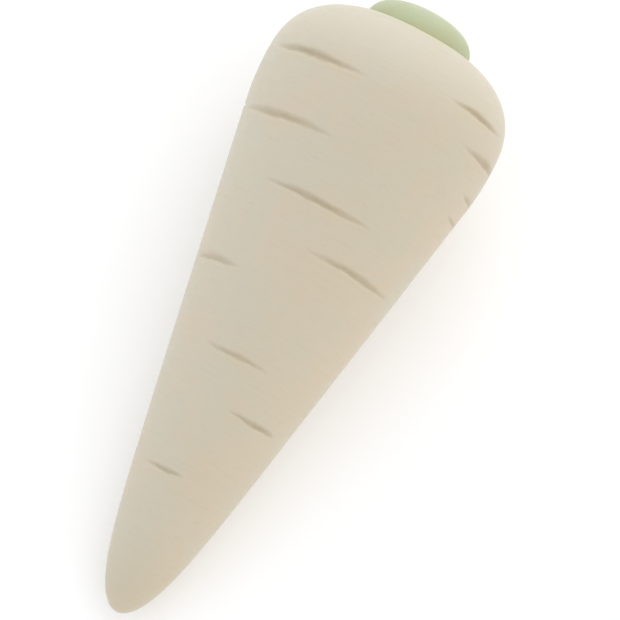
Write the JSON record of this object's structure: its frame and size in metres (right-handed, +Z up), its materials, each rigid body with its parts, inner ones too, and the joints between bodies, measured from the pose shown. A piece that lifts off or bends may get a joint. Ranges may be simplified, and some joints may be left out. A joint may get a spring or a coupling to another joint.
{
  "type": "parsnip",
  "caption": "Whole parsnip lying on its side: a stout cream root that tapers to a blunt tip, creased crosswise, with the green stub of its trimmed leaf stalks on the crown.",
  "frame": {"origin": "centre of the outline on the surface that the parsnip lies on, at the height of that surface", "axes": "+X from the tip to the crown along the level line that it lies on, +Z up from the surface, +Y to the left of the crown seen from the tip"},
  "size_m": [0.1673, 0.0641, 0.0641],
  "materials": {
    "root_skin": "matte",
    "stalk_green": "matte"
  },
  "bodies": {
    "root": {"taproot": "root_skin", "leaf_stub": "stalk_green"}
  },
  "joints": []
}
